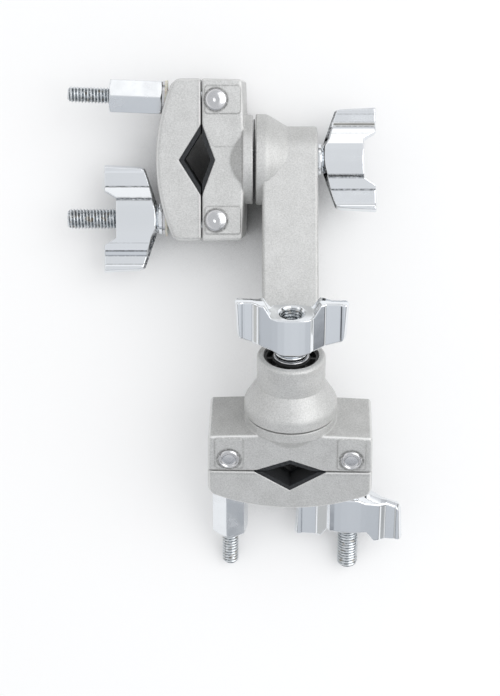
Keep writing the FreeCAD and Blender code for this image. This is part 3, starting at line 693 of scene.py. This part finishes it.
INNER_JAW = skin(inner_jaw_field, (-0.4, -31.6, -17.9), (20.3, 31.6, 17.9), JAW_STEP)
OUTER_JAW = skin(outer_jaw_field, (-18.1, -31.6, -13.5), (0.5, 31.6, 13.5), JAW_STEP)
INNER_SHADE = {"upper": mould_line_shade, "lower": inner_jaw_shade}
for clamp, place in CLAMPS.items():
    node = f"{clamp}_inner_jaw"
    shell = shaded(INNER_JAW, INNER_SHADE[clamp])
    piece(f"{clamp}_inner_casting", shell, place, CAST, f"{clamp}_swivel", node)
    node = f"{clamp}_outer_jaw"
    shell = shaded(OUTER_JAW, outer_jaw_shade)
    piece(f"{clamp}_outer_casting", shell, place, CAST, node, node)


# Wing nuts

# The height of the face over the middle plane, at places across the axis
CROWN = (
    (-21.5, 1.9), (-20.0, 2.2), (-19.0, 2.3), (-18.3, 2.1), (-17.6, 1.75), (-14.0, 1.62),
    (-12.5, 1.65), (-12.1, 2.0), (-7.9, 4.0), (-7.0, 5.3), (-5.0, 5.85), (-2.5, 6.15), (0.0, 6.2),
    (2.5, 6.1), (5.0, 5.7), (7.0, 5.1), (11.2, 3.7), (12.1, 3.35), (12.6, 2.9), (14.0, 2.1),
    (14.4, 1.75), (17.4, 1.75), (17.6, 1.6), (18.4, 2.0), (19.5, 2.1), (21.5, 1.8),
)
SOFTENING = (-0.16, -0.06, 0.06, 0.16)

# The cones of the nut's outline: the radius at a height, that height, and the growth of the radius
UNDERSIDE = (4.9, 2.0, 2.92)
LOWER_CORNER = (19.5, 7.0, 0.625)
TIP = (20.0, 7.8, 0.053)
NOTCH = (7.9, 17.9, 0.469)
WING_HEIGHT, BARREL_HEIGHT = 22.8, 17.9
FLANGE_RADIUS, FLANGE_MIDDLE, FLANGE_HALF = 6.05, 0.87, 0.83
NUT_BORE = 4.15

# The dark creases of the face, painted shade and painted dark reflection: the place across the axis, the
# half width and the share of painted shade
CREASES = (
    (-7.6, 0.95, 1.0),
    (-12.3, 0.5, 1.0),
    (9.3, 0.3, 0.3),
    (12.35, 0.4, 0.8),
    (14.3, 0.3, 0.5),
    (17.5, 0.3, 0.4),
)


def crown(across):
    """The height of a wing nut's face over its middle plane, its creases a little softened."""
    return sum(np.interp(across + part, *np.transpose(CROWN)) for part in SOFTENING) / len(SOFTENING)


def beyond_cone(r, x, cone):
    """How far a radius lies beyond that of a cone at a height."""
    radius, height, growth = cone
    return r - radius - growth * (x - height)


def wing_nut_field(points):
    """A wing nut from its base at X = 0, with its wings along Y.

    Its face runs over the barrel and down to the wings in flat facets with soft creases, another way on
    each side; turned half round, the same face is the back. The outline trims it by the distance from
    the axis: a slanted underside, a tip that leans out a little, a flat top, and a notch on each side of
    the barrel's end. Each part of the outline draws in with the height over the middle, as a die's
    draft. Each distance is divided by a little more than the length of its slope.
    """
    x, y, z = points.T
    r = np.hypot(y, z)
    front, back = crown(y), crown(-y)
    grade = (crown(y + 0.1) - front) / 0.1
    back_grade = (crown(0.1 - y) - back) / 0.1
    face = (z - front) / np.sqrt(1.0 + grade**2)
    section = np.maximum(face, (-z - back) / np.sqrt(1.0 + back_grade**2))
    height = z - (front - back) / 2.0
    drawn = np.clip((np.abs(y) - 4.0) / 3.0, 0.0, 1.0) * np.minimum(np.abs(height), 2.4)
    undercut = 0.3 + 0.14 * np.sign(y * height)
    under = beyond_cone(r, x - undercut * drawn, UNDERSIDE) / 3.2
    corner = (beyond_cone(r, x, LOWER_CORNER) + 0.3 * drawn) / 1.2
    tip = (beyond_cone(r, x, TIP) + 0.3 * drawn) / 1.05
    side = meet(meet(under, corner, 0.6), tip, 1.0)
    side = meet(side, (x - WING_HEIGHT + 0.12 * drawn) / 1.01, 0.6)
    notch = meet(BARREL_HEIGHT - x, (beyond_cone(r, x, NOTCH) - 0.3 * drawn) / 1.16, 0.3)
    solid = meet(meet(section, side, 0.5), -notch, 0.45)
    flange = meet(r - FLANGE_RADIUS, np.abs(x - FLANGE_MIDDLE) - FLANGE_HALF, 0.4)
    solid = join(solid, flange, 0.4)
    mouth = 0.9 * np.maximum(x - 17.0, 0.0) * (r < 7.0)
    return meet(solid, NUT_BORE + mouth - r, 0.2)


def recess_shade(shell):
    """The shell with its share of painted shade and painted dark reflection on a wing nut's plating, from
    nought to one.

    Full under the wings, where the normal points to the base past the flange, and by its share along
    each crease of the face.
    """
    points, quads, normals = shell
    x, y, z = points.T
    outside = np.clip((np.abs(y) - 5.0) / 0.8, 0.0, 1.0) * (x > 1.9)
    dark = outside * np.clip((-normals[:, 0] - 0.5) / 0.3, 0.0, 1.0)
    across = y * np.sign(z)
    on_face = np.abs(normals[:, 0]) < 0.3
    for place, half, share in CREASES:
        dark = np.maximum(dark, share * line_shade(across - place, half) * on_face)
    return points, quads, normals, dark


WING_NUT = skin(wing_nut_field, (-0.6, -21.6, -8.1), (23.6, 21.6, 8.1), 0.3)
HUB_NUT_THREAD = thread(0.4, 17.7, BOLT_RADIUS["hub"] - 0.3, PITCH["hub"], inner=True)
for clamp in CLAMPS:
    # Only the upper clamp's nuts get the painted shade and painted dark reflection under the wings and
    # along the creases.
    shell = recess_shade(WING_NUT) if clamp == "upper" else WING_NUT
    node = f"{clamp}_wing_nut"
    piece(f"{node}_casting", shell, nut_frame(clamp, "wing"), CHROME, node, node)
    node = f"{clamp}_hub_wing_nut"
    place = nut_frame(clamp, "hub")
    piece(f"{node}_casting", shell, place, CHROME, node, node)
    piece(f"{node}_thread", HUB_NUT_THREAD, place, ZINC, node, None)


# Hex nuts

HEX_LENGTH, HEX_HALF = 20.3, 6.225
HEX_BORE = 3.25


def hex_nut_field(points):
    """A long hex nut: six flats, and a cone at each end that cuts its corners."""
    x, y, z = points.T
    r = np.hypot(y, z)
    flats = np.full(len(points), -99.0)
    for angle in (30.0, 90.0, 150.0):
        a = math.radians(angle)
        flats = meet(flats, np.abs(y * math.cos(a) + z * math.sin(a)) - HEX_HALF, 0.15)
    steep = 2.0
    ends = np.maximum(r - 6.0 - steep * x, r - 6.0 - steep * (HEX_LENGTH - x)) / math.hypot(1.0, steep)
    solid = meet(flats, ends, 0.15)
    solid = meet(solid, np.abs(x - HEX_LENGTH / 2) - HEX_LENGTH / 2, 0.25)
    return meet(solid, HEX_BORE + 0.8 * np.maximum(x - HEX_LENGTH + 0.6, 0.0) - r, 0.15)


HEX_NUT = skin(hex_nut_field, (-0.5, -7.6, -7.6), (20.8, 7.6, 7.6), 0.24)
for clamp in CLAMPS:
    node = f"{clamp}_hex_nut"
    piece(f"{node}_bar", HEX_NUT, nut_frame(clamp, "hex"), SATIN, node, node)


# Swing bolts and hub bolts

EYE_RADIUS, EYE_HALF, EYE_BORE = 6.0, 4.0, 2.55
EYE_ROOT = 9.5
HUB_THREAD_START, HUB_BOLT_REACH = 40.0, 13.3


def eye_field(radius):
    """The field of a flat eye with a rivet hole and the root of its shank, for a bolt of this radius."""

    def field(points):
        """Negative inside the eye."""
        x, y, z = points.T
        across = np.hypot(x, y)
        eye = meet(across - EYE_RADIUS, np.abs(z) - EYE_HALF, 0.6)
        shank = meet(np.hypot(y, z) - radius * 0.93, np.abs(x - 5.0) - 5.5, 0.3)
        return meet(join(eye, shank, 0.8), EYE_BORE - across, 0.3)

    return field


for clamp in CLAMPS:
    for name in SIDE:
        node = f"{clamp}_{name}_bolt"
        radius = BOLT_RADIUS[name]
        eye = skin(eye_field(radius), (-6.6, -6.6, -4.6), (11.0, 6.6, 4.6), 0.4)
        shank = thread(EYE_ROOT, BOLT_REACH[name], radius, PITCH[name])
        place = bolt_frame(clamp, name)
        piece(f"{node}_turned", together(eye, shank), place, ZINC, node, node)

# The hub bolt's head and plain shank, from under the head's top to where the thread starts
SHANK_RADIUS = 3.95
HUB_BOLT_HEAD = lathe(
    [
        (5.9, 0.0),
        (5.9, 6.0),
        (6.3, 6.45),
        (9.2, 6.45),
        (9.4, 6.3),
        (9.4, 4.0),
        (9.6, SHANK_RADIUS),
        (HUB_THREAD_START, SHANK_RADIUS),
    ]
)
for clamp, place in CLAMPS.items():
    end = hub_end(clamp) + HUB_BOLT_REACH
    shank = thread(HUB_THREAD_START, end, SHANK_RADIUS, PITCH["hub"])
    node = f"{clamp}_hub_bolt"
    bolt = together(HUB_BOLT_HEAD, shank)
    piece(f"{node}_turned", bolt, place, ZINC, f"{clamp}_swivel", node)


# Hub washers, a hair clear of the bush and of the nut

WASHER_THICKNESS, WASHER_BORE = 1.0, 4.3
HUB_WASHER = hoop(
    [
        (0.03, WASHER_BORE),
        (0.03, 6.2),
        (0.03, 6.4),
        (0.08, 6.54),
        (0.2, 6.6),
        (0.8, 6.6),
        (0.92, 6.54),
        (0.97, 6.4),
        (0.97, 6.2),
        (0.97, WASHER_BORE),
    ]
)
for clamp, place in CLAMPS.items():
    node = f"{clamp}_hub_washer"
    place = place @ shift(hub_end(clamp) - WASHER_THICKNESS)
    piece(f"{node}_turned", HUB_WASHER, place, BRIGHT, node, node)


# Rivets: a dish with a rolled rim at one end, and a dome at the other

STEPS = np.linspace(0, 1, 12)
DISH = [(-13.25, 0.0), (-13.3, 0.9), (-13.15, 2.0)]
ROLL = [(-13.1 - 0.55 * math.sin(t * 3.1416), 3.95 - 1.2 * t) for t in STEPS]
SHANK = [(-13.0, 4.05), (-12.95, 2.5), (12.95, 2.5), (12.95, 4.2), (13.05, 4.25)]
DOME = [(13.2 + 1.4 * math.sin(t * 1.35), 4.25 * math.cos(t * 1.35)) for t in STEPS]
RIVET = lathe([*DISH, *ROLL[::-1], *SHANK, *DOME, (14.4, 0.6), (14.35, 0.0)])
RIVET_TURN = {"upper": -90.0, "lower": 90.0}
for clamp in CLAMPS:
    for name, side in SIDE.items():
        place = CLAMPS[clamp] @ shift(RIVET_DEPTH, side * RIVET_SPREAD) @ spin("y", RIVET_TURN[clamp])
        node = f"{clamp}_{name}_rivet"
        piece(f"{node}_turned", RIVET, place, BRIGHT, f"{clamp}_swivel", node)


# Floor, light and camera, in metres

WHITE = (1.0, 1.0, 1.0)
FLOOR_TONE = 0.94
FLOOR_SIZE, FLOOR_CLEARANCE = 6.0, 0.0002
SHADOW_REACH = 0.2


def stage_plane(name, size, z, material):
    """A level square that belongs to the stage."""
    half = size / 2
    mesh = bpy.data.meshes.new(name)
    corners = [(-half, -half, z), (half, -half, z), (half, half, z), (-half, half, z)]
    mesh.from_pydata(corners, [], [(0, 1, 2, 3)])
    mesh.materials.append(material)
    made = bpy.data.objects.new(name, mesh)
    bpy.context.scene.collection.objects.link(made)


def floor_looks():
    """A pale floor that keeps the soft shadow under the part and is white away from it.

    Its openness is the share of the sky that is in view within the shadow's reach. It darkens the
    floor's colour where little is in view, a painted shadow, and adds white for the camera alone where
    most is, so the painted shadow also shows as less white.
    """
    material, tree, shader = new_material("floor", (FLOOR_TONE, FLOOR_TONE, FLOOR_TONE), 0.0, 0.9)
    shader.inputs["Specular IOR Level"].default_value = 0.0
    inputs = {"Distance": SHADOW_REACH}
    openness = add(tree, "ShaderNodeAmbientOcclusion", inputs, samples=8).outputs["AO"]
    # Painted shadow: the floor's colour darkens where little of the sky is in view.
    tone = mapped(tree, openness, (0.06, 0.35), (0.2, FLOOR_TONE))
    tree.links.new(tone, shader.inputs["Base Color"])
    lift = mapped(tree, openness, (0.25, 0.85), (0.0, 0.45))
    lift = multiplied(tree, lift, add(tree, "ShaderNodeLightPath").outputs["Is Camera Ray"])
    white = add(tree, "ShaderNodeEmission", {"Color": opaque(WHITE), "Strength": 1.0})
    inputs = {0: lift, 1: shader.outputs[0], 2: white.outputs[0]}
    both = add(tree, "ShaderNodeMixShader", inputs).outputs[0]
    tree.links.new(both, tree.nodes["Material Output"].inputs["Surface"])
    return material


def area_light(name, place, aim, size, power):
    """A soft lamp that faces the place that it is aimed at."""
    lamp = bpy.data.lights.new(name, "AREA")
    lamp.shape = "RECTANGLE"
    lamp.size, lamp.size_y = size
    lamp.energy = power
    made = bpy.data.objects.new(name, lamp)
    made.location = place
    heading = np.array(aim) - np.array(place)
    made.rotation_euler = Vector(heading).to_track_quat("-Z", "Y").to_euler()
    bpy.context.scene.collection.objects.link(made)


stage_plane("floor", FLOOR_SIZE, FLOOR * TO_METRES - FLOOR_CLEARANCE, floor_looks())
area_light("key", place=(0.78, 0.12, 1.02), aim=(0.02, -0.07, 0.0), size=(1.2, 1.2), power=7.0)

# The room that the bright pieces reflect, by the height of the direction, from level to straight up
ROOM = [
    (0.0, (0.5, 0.49, 0.46)),
    (0.11, (0.5, 0.49, 0.46)),
    (0.13, (0.01, 0.01, 0.012)),
    (0.2, (0.01, 0.01, 0.012)),
    (0.23, (0.38, 0.39, 0.41)),
    (0.42, (0.64, 0.65, 0.67)),
    (0.47, WHITE),
    (0.62, WHITE),
    (0.7, (0.66, 0.672, 0.69)),
    (1.0, (0.62, 0.632, 0.65)),
]

# The same on the side that faces the lower clamp, which is greyer
NEAR_SIDE = [
    (0.0, (0.44, 0.45, 0.46)),
    (0.13, (0.44, 0.45, 0.46)),
    (0.15, (0.05, 0.05, 0.06)),
    (0.19, (0.05, 0.05, 0.06)),
    (0.22, (0.42, 0.44, 0.47)),
    (0.4, (0.5, 0.52, 0.55)),
    (0.5, (0.6, 0.62, 0.65)),
    (0.56, (0.8, 0.81, 0.83)),
    (0.64, (0.62, 0.635, 0.66)),
    (1.0, (0.62, 0.632, 0.65)),
]

world = bpy.data.worlds.new("world")
bpy.context.scene.world = world
world.use_nodes = True
tree = world.node_tree
tree.nodes.clear()
direction = add(tree, "ShaderNodeTexCoord").outputs["Generated"]
direction = add(tree, "ShaderNodeSeparateXYZ", {0: direction}).outputs
near = mapped(tree, direction["Y"], (-0.5, -0.8))
room = blended(tree, near, ramp(tree, direction["Z"], ROOM), ramp(tree, direction["Z"], NEAR_SIDE))
seen = add(tree, "ShaderNodeLightPath").outputs["Is Camera Ray"]
colour = blended(tree, seen, room, WHITE)
strength = mapped(tree, seen, (0.0, 1.0), (1.2, 1.0))
back = add(tree, "ShaderNodeBackground", {"Color": colour, "Strength": strength})
add(tree, "ShaderNodeOutputWorld", {"Surface": back.outputs[0]})

# The camera looks straight down. Its lens comes from the focal length in pixels over the picture's height
FOCAL_PIXELS, PHOTO_PIXELS = 2060.0, 696.0
camera = bpy.data.cameras.new("camera")
camera.sensor_width = 36.0
camera.lens = FOCAL_PIXELS / PHOTO_PIXELS * camera.sensor_width
camera.clip_start, camera.clip_end = 0.05, 20.0
camera_object = bpy.data.objects.new("camera", camera)
camera_object.location = (0.01838, -0.07256, 0.793)
bpy.context.scene.collection.objects.link(camera_object)
bpy.context.scene.camera = camera_object
bpy.context.scene.view_settings.view_transform = "Standard"
